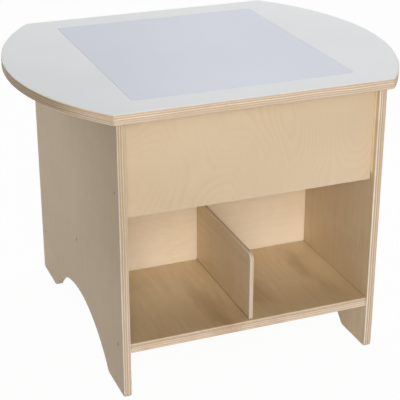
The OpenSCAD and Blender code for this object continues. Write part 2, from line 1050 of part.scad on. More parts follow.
// Centre pin of the power socket
module socket_pin() {
    color(brass)
        translate([socket_x, plate_face_y + bezel_t - 1, control_z])
            rotate([90, 0, 0])
                cylinder(h = socket_bore_depth - 1, r = socket_pin_r);
}

// Solder tabs behind the power socket
module socket_tabs() {
    color(brass)
        for (s = [-1, 1])
            translate([
                socket_x + s * tab_w - tab_w / 2,
                plate_face_y - socket_body_l - tab_l,
                control_z - tab_t / 2
            ])
                cube([tab_w, tab_l, tab_t]);
}

// Hexagon nut that clamps the socket to the plate
module socket_nut() {
    color(steel)
        translate([socket_x, rear_face_y, control_z])
            rotate([90, 0, 0])
                difference() {
                    cylinder(h = nut_t, r = nut_across / sqrt(3), $fn = 6);
                    translate([0, 0, -1])
                        cylinder(h = nut_t + 2, r = socket_body_r + hole_gap);
                }
}

// Insulating boot over the power socket's tabs
module socket_boot() {
    inside_r = socket_body_r + 0.15;
    depth = socket_boot_front_y - boot_end_y;
    color(black)
        difference() {
            translate([socket_x, socket_boot_front_y, control_z])
                rotate([90, 0, 0])
                    difference() {
                        cylinder(h = depth, r = inside_r + boot_wall);
                        translate([0, 0, -1])
                            cylinder(h = depth + 1 - boot_wall, r = inside_r);
                    }
            translate([socket_x, lead_y, control_z - 2 * inside_r])
                cylinder(h = 2 * inside_r, r = lead_r + lead_gap);
        }
}

// ---- The table ----

tabletop_core();
tabletop_laminate();
light_diffuser();
side_panel(-1);  // side_panel_left
side_panel(1);  // side_panel_right
apron(-1);  // front_apron
rear_apron();
bottom_shelf();
centre_panel();
divider(-1);  // front_divider
divider(1);  // rear_divider
light_box_floor();
side_cleat(-1, floor_z);  // floor_cleat_left
side_cleat(1, floor_z);  // floor_cleat_right
side_cleat(-1, top_cleat_z);  // top_cleat_left
side_cleat(1, top_cleat_z);  // top_cleat_right
cross_cleat(-1);  // top_cleat_front
cross_cleat(1);  // top_cleat_rear
joint_bolts();
wood_dowels();
carcase_screws(concat(side_cleat_screws, cross_cleat_screws));  // cleat_screws
carcase_screws(concat(side_top_screws, cross_top_screws));  // tabletop_screws
carcase_screws(concat(floor_edge_screws, floor_middle_screws));  // box_floor_screws
carcase_screws(shelf_screw_places);  // shelf_screws
for (i = [1:bar_count]) {
    led_channel(i - 1);
    led_strip(i - 1);
    led_cover(i - 1);
}
led_chips();
bar_caps(-1, false);  // led_end_caps
bar_caps(1, true);  // led_cable_caps
led_clips();
led_clip_screws();
link_leads();
supply_lead();
inlet_lead();
lead_saddles();
control_plate();
plate_screws();
rocker_housing();
rocker_button();
switch_terminals();
switch_boot();
power_socket();
socket_pin();
socket_tabs();
socket_nut();
socket_boot();
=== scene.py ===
import json
import math

import bmesh
import bpy
from mathutils import Matrix, Vector


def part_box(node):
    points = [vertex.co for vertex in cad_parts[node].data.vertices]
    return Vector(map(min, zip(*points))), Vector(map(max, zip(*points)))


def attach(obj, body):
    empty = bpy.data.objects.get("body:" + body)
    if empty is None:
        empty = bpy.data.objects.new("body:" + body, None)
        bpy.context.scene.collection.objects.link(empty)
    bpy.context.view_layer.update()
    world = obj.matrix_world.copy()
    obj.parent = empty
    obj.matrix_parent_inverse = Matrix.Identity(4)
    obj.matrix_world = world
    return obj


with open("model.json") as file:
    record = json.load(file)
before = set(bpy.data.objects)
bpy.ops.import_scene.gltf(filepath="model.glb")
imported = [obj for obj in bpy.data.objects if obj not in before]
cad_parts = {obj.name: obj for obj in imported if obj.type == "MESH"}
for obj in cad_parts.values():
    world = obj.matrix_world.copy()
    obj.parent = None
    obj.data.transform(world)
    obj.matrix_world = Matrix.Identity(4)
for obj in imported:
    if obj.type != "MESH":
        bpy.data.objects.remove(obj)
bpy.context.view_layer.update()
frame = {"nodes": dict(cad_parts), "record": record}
nodes = frame["nodes"]
X, Y, Z = range(3)


# ---- Camera ----
# It stands to the left of the front, above the table, and looks down a little, so that the whole
# top, the front and the left end show. The lens is a long one, so the lines stay nearly parallel.
def direction(azimuth, elevation):
    """The way out from the table at two angles in degrees. Azimuth 0 is straight in front."""
    turn, rise = math.radians(azimuth), math.radians(elevation)
    return Vector((
        math.sin(turn) * math.cos(rise),
        -math.cos(turn) * math.cos(rise),
        math.sin(rise),
    ))


camera_data = bpy.data.cameras.new("camera")
camera_data.lens = 107.05
camera_data.sensor_width = 36.0
camera = bpy.data.objects.new("camera", camera_data)
bpy.context.scene.collection.objects.link(camera)
bpy.context.scene.camera = camera

camera_aim = Vector((0.0, -0.0143, 0.2458))
camera_distance = 2.4137
towards_camera = direction(azimuth=-21.506, elevation=23.964)
camera.location = camera_aim + camera_distance * towards_camera
camera.rotation_euler = towards_camera.to_track_quat("Z", "Y").to_euler()


# ---- Floor and studio light ----
# The floor is a plain white studio sheet. It shows as the white page of the photograph, and still
# takes the table's shadow. Every light is a large soft box.
class Recipe:
    """One material, whose nodes are wired in the order in which they are written."""

    # Where a Mix node keeps its first input, its second input and its output
    mix_sockets = {"VECTOR": (4, 5, 1), "RGBA": (6, 7, 2)}

    def __init__(self, name):
        self.material = bpy.data.materials.new(name)
        self.material.use_nodes = True
        self.tree = self.material.node_tree
        self.shader = self.tree.nodes["Principled BSDF"]
        coordinates = self.add("ShaderNodeTexCoord")
        self.place = coordinates.outputs["Object"]
        self.normal = coordinates.outputs["Normal"]

    def add(self, kind, **settings):
        node = self.tree.nodes.new(kind)
        for setting, value in settings.items():
            setattr(node, setting, value)
        return node

    def wire(self, socket, value):
        """Joins a socket to another node's output, or sets it to a number, vector or colour."""
        if isinstance(value, bpy.types.NodeSocket):
            self.tree.links.new(value, socket)
        else:
            socket.default_value = value

    def calc(self, operation, *values):
        node = self.add("ShaderNodeMath", operation=operation)
        for socket, value in zip(node.inputs, values):
            self.wire(socket, value)
        return node.outputs[0]

    def calc_vector(self, operation, *values):
        node = self.add("ShaderNodeVectorMath", operation=operation)
        for socket, value in zip(node.inputs, values):
            self.wire(socket, value)
        return node.outputs[0]

    def parts(self, vector):
        node = self.add("ShaderNodeSeparateXYZ")
        self.wire(node.inputs[0], vector)
        return list(node.outputs)

    def noise(self, where, scale, detail=2.0, roughness=0.5):
        """Cloudy noise from 0 to 1, with about that many clouds to a metre."""
        node = self.add("ShaderNodeTexNoise")
        self.wire(node.inputs["Vector"], where)
        self.wire(node.inputs["Scale"], scale)
        self.wire(node.inputs["Detail"], detail)
        self.wire(node.inputs["Roughness"], roughness)
        return node.outputs[0]

    def ease(self, value, start, end, low=0.0, high=1.0):
        """Goes smoothly from low to high as value goes from start to end."""
        node = self.add("ShaderNodeMapRange", interpolation_type="SMOOTHSTEP")
        for socket, given in zip(node.inputs, (value, start, end, low, high)):
            self.wire(socket, given)
        return node.outputs[0]

    def wander(self, noise, low=0.0, high=1.0):
        """Goes from low to high over the middle stretch, where most of a noise lies."""
        return self.ease(noise, 0.3, 0.7, low, high)

    def mix(self, share, first, second, kind="RGBA", blend="MIX"):
        """Goes from the first colour or vector to the second as share goes from 0 to 1."""
        node = self.add("ShaderNodeMix", data_type=kind, blend_type=blend)
        first_input, second_input, output = self.mix_sockets[kind]
        self.wire(node.inputs[0], share)
        self.wire(node.inputs[first_input], first)
        self.wire(node.inputs[second_input], second)
        return node.outputs[output]

    def clouded(self, noise, first, second):
        """A colour that wanders between two as the noise does."""
        return self.mix(self.wander(noise), first, second)

    def times(self, colour, factors):
        """Multiplies a colour by another, or by one plain factor each for red, green and blue."""
        if isinstance(factors, tuple):
            factors = (*factors, 1.0)
        return self.mix(1.0, colour, factors, blend="MULTIPLY")

    def openness(self, reach):
        """1 in the open, and less in a corner or a recess narrower than the reach."""
        node = self.add("ShaderNodeAmbientOcclusion", samples=6)
        self.wire(node.inputs["Distance"], reach)
        return node.outputs["AO"]

    def grey(self, value):
        node = self.add("ShaderNodeCombineColor")
        for socket in node.inputs[:3]:
            self.wire(socket, value)
        return node.outputs[0]

    def finish(self, colour, roughness, relief, depth, **others):
        """Wires colour, roughness and relief, which is depth metres deep, to the shader."""
        bump = self.add("ShaderNodeBump")
        self.wire(bump.inputs["Strength"], 1.0)
        self.wire(bump.inputs["Distance"], depth)
        self.wire(bump.inputs["Height"], relief)
        self.wire(self.shader.inputs["Base Color"], colour)
        self.wire(self.shader.inputs["Roughness"], roughness)
        self.wire(self.shader.inputs["Normal"], bump.outputs[0])
        for socket, value in others.items():
            self.shader.inputs[socket.replace("_", " ")].default_value = value
        return self.material


def paint(red, green, blue):
    """A colour as it looks on a screen, each part from 0 to 255, for a shader."""
    shares = [part / 255 for part in (red, green, blue)]
    return (*[s / 12.92 if s <= 0.04045 else ((s + 0.055) / 1.055) ** 2.4 for s in shares], 1.0)


def show_page(tree, lit, page, share, output):
    """Lays this share of a plain page over a lit surface, where it is seen and not as light.

    The camera, reflections and clear surfaces see the page."""
    rays = tree.nodes.new("ShaderNodeLightPath")
    seen = rays.outputs["Is Camera Ray"]
    for ray in ("Is Glossy Ray", "Is Transmission Ray"):
        either = tree.nodes.new("ShaderNodeMath")
        either.operation = "ADD"
        either.use_clamp = True
        tree.links.new(seen, either.inputs[0])
        tree.links.new(rays.outputs[ray], either.inputs[1])
        seen = either.outputs[0]
    page_share = tree.nodes.new("ShaderNodeMath")
    page_share.operation = "MULTIPLY"
    page_share.inputs[1].default_value = share
    tree.links.new(seen, page_share.inputs[0])
    laid_over = tree.nodes.new("ShaderNodeMixShader")
    tree.links.new(page_share.outputs[0], laid_over.inputs[0])
    tree.links.new(lit.outputs[0], laid_over.inputs[1])
    tree.links.new(page.outputs[0], laid_over.inputs[2])
    tree.links.new(laid_over.outputs[0], tree.nodes[output].inputs["Surface"])


floor_size = 16.0
floor_below = 0.0003
floor_shape = bmesh.new()
bmesh.ops.create_grid(floor_shape, x_segments=1, y_segments=1, size=floor_size / 2)
bmesh.ops.translate(floor_shape, verts=floor_shape.verts, vec=(0.0, 0.0, -floor_below))
floor_mesh = bpy.data.meshes.new("studio_floor")
floor_shape.to_mesh(floor_mesh)
floor_shape.free()
floor = bpy.data.objects.new("studio_floor", floor_mesh)
bpy.context.scene.collection.objects.link(floor)

floor_paint = Recipe("studio_floor")
floor_cloud = floor_paint.noise(floor_paint.place, scale=40.0)
floor_grain = floor_paint.noise(floor_paint.place, scale=300.0)
floor_roughness = floor_paint.wander(floor_cloud, low=0.85, high=0.95)
floor_paint.finish(
    paint(248, 248, 248), floor_roughness, floor_grain, depth=0.0002, Specular_IOR_Level=0.0)
floor_page = floor_paint.add("ShaderNodeEmission")
show_page(floor_paint.tree, floor_paint.shader, floor_page, share=0.96, output="Material Output")
floor.data.materials.append(floor_paint.material)

white_light = (1.0, 1.0, 1.0, 1.0)
world = bpy.data.worlds.new("studio")
bpy.context.scene.world = world
world.use_nodes = True
world_light = world.node_tree.nodes["Background"]
world_light.inputs["Color"].default_value = white_light
world_light.inputs["Strength"].default_value = 0.05
world_page = world.node_tree.nodes.new("ShaderNodeBackground")
world_page.inputs["Color"].default_value = white_light
show_page(world.node_tree, world_light, world_page, share=1.0, output="World Output")

table_middle = Vector((0.0, 0.0, 0.3))


def soft_box(name, azimuth, elevation, distance, size, watts):
    """A square area light that faces the middle of the table."""
    light = bpy.data.lights.new(name, "AREA")
    light.shape = "SQUARE"
    light.size = size
    light.energy = watts
    lamp = bpy.data.objects.new(name, light)
    bpy.context.scene.collection.objects.link(lamp)
    outwards = direction(azimuth, elevation)
    lamp.location = table_middle + distance * outwards
    lamp.rotation_euler = outwards.to_track_quat("Z", "Y").to_euler()
    return lamp


front_lights = [
    soft_box("front_light", azimuth=-12.0, elevation=14.0, distance=4.0, size=2.4, watts=84.0),
    soft_box("high_light", azimuth=-15.0, elevation=36.0, distance=3.5, size=2.4, watts=28.0),
]
# The front lights leave no reflection of themselves in the table
for lamp in front_lights:
    lamp.visible_glossy = False
soft_box("rear_right_light", azimuth=140.0, elevation=50.0, distance=3.5, size=2.5, watts=58.0)
soft_box("rear_left_light", azimuth=-140.0, elevation=30.0, distance=1.9, size=1.0, watts=8.0)
soft_box("right_light", azimuth=80.0, elevation=30.0, distance=3.5, size=2.0, watts=12.0)

bpy.context.scene.view_settings.view_transform = "Standard"


# ---- Plywood core of the top ----
# Birch plywood with clear lacquer, cut to a bow at each end and rounded over along its edges. Each
# ply's fibres cross the next one's, so the plies show as stripes all round. Its face grain runs
# from front to back.
birch_light = paint(221, 200, 168)
birch_middle = paint(214, 191, 158)
birch_warm = paint(208, 180, 145)
birch_line = paint(184, 154, 119)
birch_end = paint(196, 168, 134)
birch_heart = paint(172, 140, 104)
glue = paint(122, 95, 70)

# The edges are paler than the faces, and the rounded corners palest of all: sanded wood with a
# painted highlight on it
no_change = (1.0, 1.0, 1.0, 1.0)
pale_edge = (1.10, 1.15, 1.30)
corner_highlight = (1.18, 1.28, 1.50, 1.0)
uneven_plies = (1.0, 0.93, 1.05, 0.94, 1.02, 0.95, 1.03)


def scales(axis, along, across):
    """A scale for each direction: one along an axis, and another on the two across it."""
    each = [across, across, across]
    each[axis] = along
    return each


def figure(recipe, where, grain, along, across, detail, roughness=0.5):
    """Noise with so many clouds to a metre along the grain, and so many across it."""
    stretched = recipe.calc_vector("MULTIPLY", where, scales(grain, along, across))
    return recipe.noise(stretched, scale=1.0, detail=detail, roughness=roughness)


def count_plies(recipe, node, through, where, plies):
    """How many plies up from the low face a point is, and the number of the ply it is in."""
    low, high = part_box(node)
    depth = recipe.calc(
        "DIVIDE",
        recipe.calc("SUBTRACT", recipe.parts(recipe.place)[through], low[through]),
        high[through] - low[through],
    )

    # The plies waver inside the board, and lie flat at its two faces
    waviness = 1.3
    inside = recipe.calc("MULTIPLY", depth, recipe.calc("SUBTRACT", 1.0, depth))
    waver = recipe.calc("SUBTRACT", recipe.noise(where, scale=9.0), 0.5)
    wavy_depth = recipe.calc("MULTIPLY_ADD", recipe.calc("MULTIPLY", waver, inside), waviness, depth)
    counted = recipe.calc("MULTIPLY", wavy_depth, float(plies))
    whole = recipe.calc("FLOOR", recipe.calc("MAXIMUM", counted, 0.0))
    return counted, recipe.calc("MINIMUM", whole, float(plies - 1))


def draw_fibres(recipe, where, ply, crossed, grain, across):
    """Broad streaks, fine streaks and pores: noise drawn out along each ply's own direction."""
    drawn_out = 0.03
    between_plies = 3.1
    drawn = recipe.mix(crossed, scales(grain, drawn_out, 1.0), scales(across, drawn_out, 1.0),
                       kind="VECTOR")
    apart = recipe.calc("MULTIPLY", ply, between_plies)
    fibre = recipe.calc_vector("ADD", recipe.calc_vector("MULTIPLY", where, drawn), apart)
    broad = recipe.noise(fibre, scale=70.0, detail=3.0)
    fine = recipe.noise(fibre, scale=520.0, detail=3.0, roughness=0.6)
    pores = recipe.ease(recipe.noise(fibre, scale=2100.0, roughness=0.6), 0.60, 0.74)
    return broad, fine, pores


def find_end_grain(recipe, facing, crossed, grain, across):
    """1 where the surface faces along the ply's fibres, so that their ends show."""
    faced_end = recipe.calc(
        "ADD",
        recipe.calc("MULTIPLY", facing[grain], recipe.calc("SUBTRACT", 1.0, crossed)),
        recipe.calc("MULTIPLY", facing[across], crossed),
    )
    return recipe.ease(faced_end, 0.3, 0.9)


def draw_growth_lines(recipe, where, grain, loop):
    """Growth lines of a peeled veneer, in wide loops, which show in some places only."""
    ring_count = 38.0
    loops = figure(recipe, where, grain, along=loop, across=4.5, detail=2.2, roughness=0.38)
    ring = recipe.calc("FRACT", recipe.calc("MULTIPLY", loops, ring_count))
    line = recipe.calc("MULTIPLY", recipe.ease(ring, 0.1, 0.9), recipe.ease(ring, 1.0, 0.9))
    patch = recipe.ease(recipe.noise(where, scale=6.0), 0.35, 0.65)
    return recipe.calc("MULTIPLY", line, patch)


def find_glue(recipe, counted, plies):
    """1 on a line of glue between two plies."""
    nearest = recipe.calc("MINIMUM", float(plies - 1), recipe.calc("ROUND", counted))
    joint = recipe.calc("MAXIMUM", 1.0, nearest)
    off_joint = recipe.calc("ABSOLUTE", recipe.calc("SUBTRACT", counted, joint))
    return recipe.ease(off_joint, 0.15, 0.04)


def shade_plies(recipe, ply, shades):
    """The paleness of a board's edge, with its own shade for each ply, from the low face up."""
    plies = len(shades)
    steps = recipe.add("ShaderNodeValToRGB")
    steps.color_ramp.interpolation = "CONSTANT"
    stops = steps.color_ramp.elements
    while len(stops) < plies:
        stops.new(1.0)
    for i, shade in enumerate(shades):
        stops[i].position = i / plies
        stops[i].color = (*[shade * part for part in pale_edge], 1.0)
    ply_middle = recipe.calc("ADD", ply, 0.5)
    recipe.wire(steps.inputs[0], recipe.calc("DIVIDE", ply_middle, float(plies)))
    return steps.outputs[0]


def wood(recipe, node, through, grain, seed, tone, shades=uneven_plies, heart=0.0, streaks=1.0,
         loop=1.3, growth=None, joints=0.78, arris=1.0):
    """Colour, roughness and relief of a board, from the directions of its thickness and grain.

    The first ply and every second one run along the grain, and the others across it. The tone
    makes this board's faces lighter or darker than the others', and the shades do so for the
    edge of each ply, from the low face up. One shade stands for solid wood.

    Heart is how much of the tree's darker middle shows, streaks how plain the fibres are, and
    growth how plain the growth lines are. A smaller loop draws those lines out further along the
    grain. Joints is the share of the colour that the painted shade leaves deep in a corner between
    two pieces. Arris is how far the painted highlight takes the rounded corners towards their
    palest."""
    plies = len(shades)
    across = X + Y + Z - through - grain
    shifted = recipe.calc_vector("ADD", recipe.place, (seed, 1.7 * seed, 2.3 * seed))
    facing = [recipe.calc("ABSOLUTE", part) for part in recipe.parts(recipe.normal)]
    counted, ply = count_plies(recipe, node, through, shifted, plies)
    crossed = recipe.calc("MODULO", ply, 2.0)
    broad, fine, pores = draw_fibres(recipe, shifted, ply, crossed, grain, across)
    end = find_end_grain(recipe, facing, crossed, grain, across)
    lines = draw_growth_lines(recipe, shifted, grain, loop)
    cloud = recipe.noise(shifted, scale=3.2, detail=4.0)
    curls = figure(recipe, shifted, grain, along=30.0, across=6.0, detail=2.0)

    # The figure of the face, laid on layer by layer, and last the ends of the fibres
    if growth is None:
        growth = 0.08 + 0.08 * streaks
    ends = recipe.mix(recipe.ease(fine, 0.35, 0.7), birch_end, birch_line)
    layers = [
        (recipe.ease(broad, 0.38, 0.80, high=0.45 * streaks), birch_warm),
        (recipe.calc("MULTIPLY", lines, growth), birch_line),
        (recipe.ease(curls, 0.35, 0.7, high=0.35), birch_light),
        (recipe.ease(fine, 0.42, 0.80, high=0.26 * streaks), birch_line),
        (recipe.calc("MULTIPLY", pores, 0.16), birch_line),
    ]
    if heart:
        dark = figure(recipe, shifted, grain, along=3.2, across=11.0, detail=3.0, roughness=0.6)
        layers.append((recipe.ease(dark, 0.48, 0.75, high=heart), birch_heart))
    layers.append((recipe.calc("MULTIPLY", end, 0.9), ends))
    colour = recipe.clouded(cloud, birch_light, birch_middle)
    for share, layer in layers:
        colour = recipe.mix(share, colour, layer)

    # How far the fibres stand up, and the pores and the glue lie low, as shares of the relief
    fibre_height = 0.5
    pore_height = -0.5
    glue_height = -0.6
    pore_relief = recipe.calc("MULTIPLY", pores, pore_height)
    relief = recipe.calc("MULTIPLY_ADD", fine, fibre_height, pore_relief)

    if plies > 1:
        seam = find_glue(recipe, counted, plies)
        colour = recipe.mix(recipe.calc("MULTIPLY", seam, 0.5), colour, glue)
        relief = recipe.calc("MULTIPLY_ADD", seam, glue_height, relief)
        on_edge = recipe.ease(facing[through], 0.98, 0.75)
        edge_tone = shade_plies(recipe, ply, shades)
        colour = recipe.times(colour, recipe.mix(on_edge, (*tone, 1.0), edge_tone))

        # A painted highlight along the rounded corners, strongest halfway round
        # Halfway round a corner the squared slope is 0.5, and this product is at its most, 0.25
        squared = recipe.calc("MULTIPLY", facing[through], facing[through])
        rounded = recipe.calc("MULTIPLY", squared, recipe.calc("SUBTRACT", 1.0, squared))
        on_corner = recipe.ease(rounded, 0.0, 0.25, high=arris)
        colour = recipe.times(colour, recipe.mix(on_corner, no_change, corner_highlight))
    else:
        colour = recipe.times(colour, tone)

    # Painted shade in joints and corners, where the pieces meet
    corner = recipe.ease(recipe.openness(reach=0.005), 0.40, 0.80, low=joints)
    colour = recipe.times(colour, recipe.grey(corner))
    lacquer_roughness = 0.38
    fibre_dulling = 0.10
    end_dulling = 0.10
    face_roughness = recipe.calc("MULTIPLY_ADD", fine, fibre_dulling, lacquer_roughness)
    roughness = recipe.calc("ADD", face_roughness, recipe.calc("MULTIPLY", end, end_dulling))
    return colour, roughness, relief


def dress(material, *names):
    """Gives CAD nodes a material in place of their plain one."""
    for name in names:
        for slot in nodes[name].material_slots:
            slot.material = material


def board(node, through, grain, seed, tone, tint=None, where=None, **figure_of_board):
    """Dresses one board as lacquered birch plywood, with a tint over part of it if one is given.

    Where gives, from the recipe, how much of the tint there is at each point."""
    recipe = Recipe("birch_" + node)
    colour, *surface = wood(recipe, node, through, grain, seed, tone, **figure_of_board)
    if tint:
        colour = recipe.mix(where(recipe), colour, recipe.times(colour, tint))
    dress(recipe.finish(colour, *surface, depth=0.00012, Specular_IOR_Level=0.3), node)


def turned(recipe, axis, start, end):
    """Goes from 0 to 1 as the surface turns from one slope along an axis to another."""
    return recipe.ease(recipe.parts(recipe.normal)[axis], start, end)


def left_end_shade(recipe):
    """Where the painted shade lies: the edge of the top where it faces left."""
    return turned(recipe, X, start=-0.82, end=-0.94)


# The edge is darker at the left end: painted shade
board("tabletop_core", through=Z, grain=Y, seed=0.3, tone=(0.92, 0.92, 0.92), arris=0.8,
      shades=(0.92, 0.95, 1.04, 0.92, 1.03, 1.12, 1.0, 0.98, 1.0),
      tint=(0.62, 0.60, 0.52), where=left_end_shade)


# ---- White laminate ----
# A sheet of matt white laminate 1 mm thick, pressed onto the core and trimmed with it. The sheet's
# own warmer body shows where its edge is rounded over.
laminate = Recipe("white_laminate")
laminate_cloud = laminate.noise(laminate.place, scale=5.0, detail=3.0)
laminate_grain = laminate.noise(laminate.place, scale=900.0)
laminate_face = laminate.clouded(laminate_cloud, paint(229, 231, 232), paint(225, 228, 229))
laminate_colour = laminate.mix(
    turned(laminate, Z, start=0.995, end=0.85), laminate_face, paint(236, 231, 220))
laminate_roughness = laminate.wander(laminate_grain, low=0.46, high=0.56)
dress(laminate.finish(laminate_colour, laminate_roughness, laminate_grain, depth=0.00003),
      "tabletop_laminate")


# ---- Translucent panel ----
# Opal acrylic 6 mm thick, satin on top. It lies loose in the window, flush with the laminate, and
# is lifted out by hand to reach the lights.
opal = Recipe("opal_acrylic")
opal_cloud = opal.noise(opal.place, scale=4.0)
opal_grain = opal.noise(opal.place, scale=1300.0)
opal_colour = opal.clouded(opal_cloud, paint(209, 213, 225), paint(205, 210, 222))
opal_roughness = opal.wander(opal_grain, low=0.30, high=0.40)
dress(opal.finish(opal_colour, opal_roughness, opal_grain, depth=0.00002), "light_diffuser")


# ---- Side panels ----
# The two ends are boards of the same plywood, each with an arch between its feet, and their face
# grain runs up and down. The shelf and the aprons are bolted and dowelled between them.
def fade(recipe, axis, start, end):
    """0 at the start and 1 at the end of a stretch along one axis."""
    return recipe.ease(recipe.parts(recipe.place)[axis], start, end)


def all_of(recipe, *shares):
    """Several shares multiplied, so that it is 1 only where all of them are."""
    product = shares[0]
    for share in shares[1:]:
        product = recipe.calc("MULTIPLY", product, share)
    return product


def shade_high_at_front(recipe):
    """Where the painted shade lies: high up on a side panel, towards the front."""
    return all_of(recipe, fade(recipe, Y, start=0.0, end=-0.24),
                  fade(recipe, Z, start=0.13, end=0.33))


def apron_joint_highlight(recipe):
    """Where the painted highlight lies: a line up the right panel's inner face, just in front of the
    front apron.
    """
    apron_low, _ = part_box("front_apron")
    line_front = apron_low[Y] - 0.0035
    line_back = apron_low[Y] + 0.004
    line_foot = apron_low[Z] + 0.0185
    return all_of(
        recipe,
        fade(recipe, Y, start=line_front - 0.003, end=line_front),
        fade(recipe, Y, start=line_back + 0.006, end=line_back),
        fade(recipe, Z, start=line_foot - 0.006, end=line_foot),
        turned(recipe, X, start=-0.5, end=-0.9),
    )


# Painted shade: the left panel's tone is darker all over, and darker still high up at the front
board("side_panel_left", through=X, grain=Z, seed=1.1, tone=(0.80, 0.77, 0.70), streaks=0.6,
      shades=(0.93, 0.88, 0.98, 0.93, 1.02, 1.04, 0.97),
      tint=(0.86, 0.84, 0.78), where=shade_high_at_front)

# A painted highlight runs up the inside of the right panel, along its joint with the front apron
board("side_panel_right", through=X, grain=Z, seed=2.6, tone=(1.04, 1.05, 1.03),
      shades=(0.97, 0.89, 1.04, 0.90, 0.94, 1.02, 1.05),
      tint=(1.6, 1.7, 1.85), where=apron_joint_highlight)


# ---- Aprons ----
# Two boards of the same plywood under the top, one at the front and one at the rear, which close
# the light box. Each is bolted and dowelled between the side panels, and its face grain runs up
# and down.
def low_at_right(recipe):
    """Low down on an apron, towards the right."""
    return all_of(recipe, fade(recipe, X, start=0.0, end=0.22),
                  fade(recipe, Z, start=0.49, end=0.39))


# The front apron is paler low down at the right
board("front_apron", through=Y, grain=Z, seed=4.2, tone=(0.88, 0.86, 0.85), streaks=0.12,
      loop=2.8, growth=0.14,
      tint=(1.10, 1.10, 1.13), where=low_at_right)
board("rear_apron", through=Y, grain=Z, seed=5.9, tone=(0.95, 0.94, 0.92), streaks=0.5)


# ---- Shelf ----
# A thicker board of birch plywood above the arches, bolted and dowelled between the side panels.
# Its face grain runs from front to back.
def shelf_edge_shade(recipe):
    """Where the painted shade lies: the shelf's upper face, towards its two open edges."""
    from_middle = recipe.calc("ABSOLUTE", recipe.parts(recipe.place)[Y])
    return all_of(recipe, recipe.ease(from_middle, 0.08, 0.27),
                  turned(recipe, Z, start=0.75, end=0.98))


# Painted shade darkens the shelf towards its edges, and the top ply's edge shade is raised as a
# painted highlight along the rounded corner
board("bottom_shelf", through=Z, grain=Y, seed=7.1, tone=(1.08, 1.09, 1.04), heart=0.7,
      joints=0.5, arris=0.2,
      shades=(1.08, 1.13, 1.15, 1.13, 1.13, 1.07, 0.95, 0.85, 1.25),
      tint=(0.82, 0.78, 0.72), where=shelf_edge_shade)


# ---- Centre panel and dividers ----
# The centre panel is the side panels' plywood, stands on the shelf at mid-depth and has its face
# grain from left to right. The dividers are thinner boards, and their tongues sit in grooves in
# the shelf and the centre panel.
def light_near_shelf(recipe):
    """Where the painted light lies: the lowest part of the centre panel."""
    return fade(recipe, Z, start=0.20, end=0.12)


# Painted light: the centre panel's tone is raised, and more so near the shelf, for the light that
# reaches into the bays
board("centre_panel", through=Y, grain=X, seed=8.3, tone=(1.23, 1.29, 1.40), streaks=0.6,
      tint=(1.08, 1.12, 1.19), where=light_near_shelf)

thin_plies = (1.04, 0.97, 1.06, 0.98, 1.03)
board("front_divider", through=X, grain=Y, seed=9.7, tone=(1.08, 1.10, 1.08), shades=thin_plies,
      joints=0.5)
board("rear_divider", through=X, grain=Y, seed=11.2, tone=(1.06, 1.08, 1.06), shades=thin_plies,
      joints=0.5)


# ---- Floor of the light box ----
# Thin plywood faced with white melamine on top, to throw the light back up at the panel. It is
# screwed to cleats on the side panels.
box_floor = Recipe("white_faced_board")
board_colour, board_roughness, board_relief = wood(
    box_floor, "light_box_floor", through=Z, grain=X, seed=12.4, tone=(0.98, 0.98, 0.98),
    shades=thin_plies)
melamine = turned(box_floor, Z, start=0.3, end=0.6)
melamine_cloud = box_floor.noise(box_floor.place, scale=7.0, detail=3.0)
melamine_white = box_floor.clouded(melamine_cloud, paint(236, 238, 237), paint(231, 233, 232))
melamine_smoother = -0.12
bare = box_floor.calc("SUBTRACT", 1.0, melamine)
dress(
    box_floor.finish(
        box_floor.mix(melamine, board_colour, melamine_white),
        box_floor.calc("MULTIPLY_ADD", melamine, melamine_smoother, board_roughness),
        box_floor.calc("MULTIPLY", board_relief, bare),
        depth=0.00012,
    ),
    "light_box_floor",
)


# ---- Cleats and dowels ----
# Planed battens of pale hardwood, screwed inside the box to hold its floor and the top, and the
# ready-made dowels that are glued across each joint.
def solid_wood(node, grain, seed):
    """Dresses a piece as plain planed wood, with its grain in one direction."""
    recipe = Recipe("pale_" + node)
    through = Y if grain == X else X
    surface = wood(recipe, node, through, grain, seed, tone=(1.02, 1.02, 1.0), shades=(1.0,))
    dress(recipe.finish(*surface, depth=0.0002), node)


solid_wood("floor_cleat_left", grain=Y, seed=13.1)
solid_wood("floor_cleat_right", grain=Y, seed=14.4)
solid_wood("top_cleat_left", grain=Y, seed=15.2)
solid_wood("top_cleat_right", grain=Y, seed=16.8)
solid_wood("top_cleat_front", grain=X, seed=17.5)
solid_wood("top_cleat_rear", grain=X, seed=18.9)
solid_wood("wood_dowels", grain=X, seed=20.1)


# ---- Bolts and screws ----
# Zinc-plated steel. The bolts in the side panels have a hexagon socket and hold the boards from
# outside, and the rest are countersunk screws with a cross slot.
def metal(name, first, second, roughness, scale):
    """Bare or plated metal, finely brushed, with painted shade deep in its sockets and slots."""
    recipe = Recipe(name)
    cloud = recipe.noise(recipe.place, scale=scale / 8, detail=3.0)
    scratch = recipe.noise(recipe.place, scale=scale, detail=3.0, roughness=0.7)
    # Painted shade deep in the sockets and slots
    deep = recipe.ease(recipe.openness(reach=0.003), 0.9, 0.5)
    return recipe.finish(
        recipe.mix(deep, recipe.clouded(cloud, first, second), paint(52, 50, 48)),
        recipe.ease(scratch, 0.25, 0.75, low=roughness - 0.08, high=roughness + 0.10),
        scratch,
        depth=0.00002,
        Metallic=1.0,
    )


zinc = metal("zinc_plated_steel", paint(158, 152, 142), paint(142, 137, 128), roughness=0.38,
             scale=1500.0)
dress(zinc, "joint_bolts", "cleat_screws", "tabletop_screws", "box_floor_screws",
      "shelf_screws", "led_clip_screws", "plate_screws")


